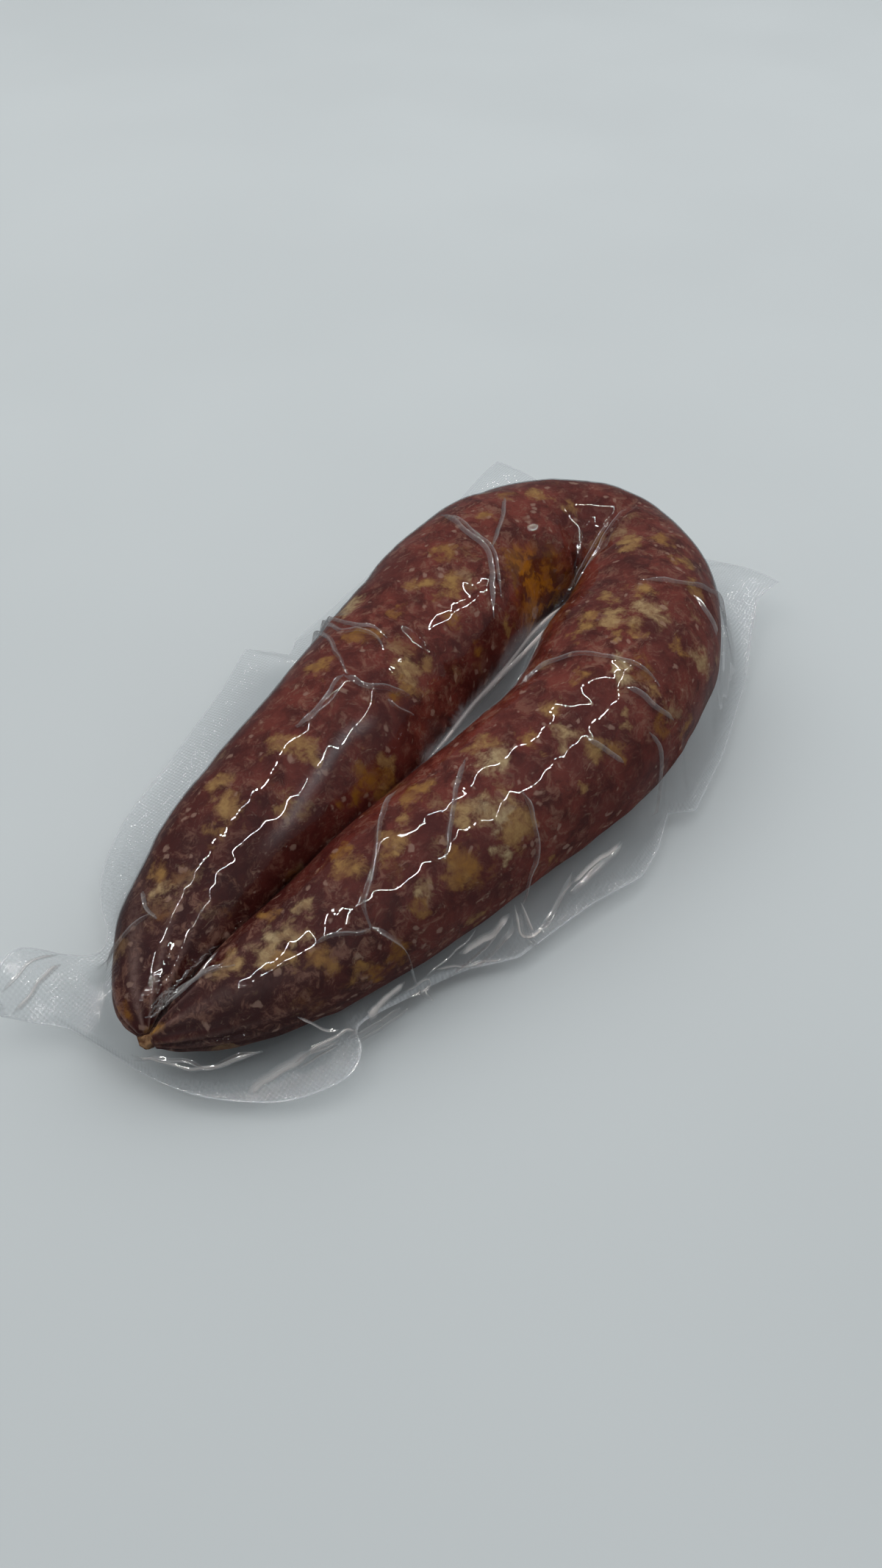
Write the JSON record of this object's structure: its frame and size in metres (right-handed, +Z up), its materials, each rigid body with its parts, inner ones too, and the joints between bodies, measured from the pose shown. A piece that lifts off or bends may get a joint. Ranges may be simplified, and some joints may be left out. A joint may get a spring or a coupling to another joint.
{
  "type": "vacuum-packed horseshoe cured sausage",
  "caption": "Horseshoe-shaped dry cured sausage, tips tied together, sealed tight in a clear pleated vacuum pouch with an embossed rim.",
  "frame": {"origin": "centre of the bounding box, at the table surface the pouch lies on", "axes": "+X along the sausage's legs towards the bend, +Z up out of the table"},
  "size_m": [0.2364, 0.1298, 0.0438],
  "materials": {
    "cured_meat": "dark red-brown cured meat mottled with tan fat, seen through glossy film",
    "clear_film": "thin clear glossy plastic film with a fine embossed weave in the rim"
  },
  "bodies": {
    "root": {"vacuum_pouch": "cured_meat"}
  },
  "joints": []
}
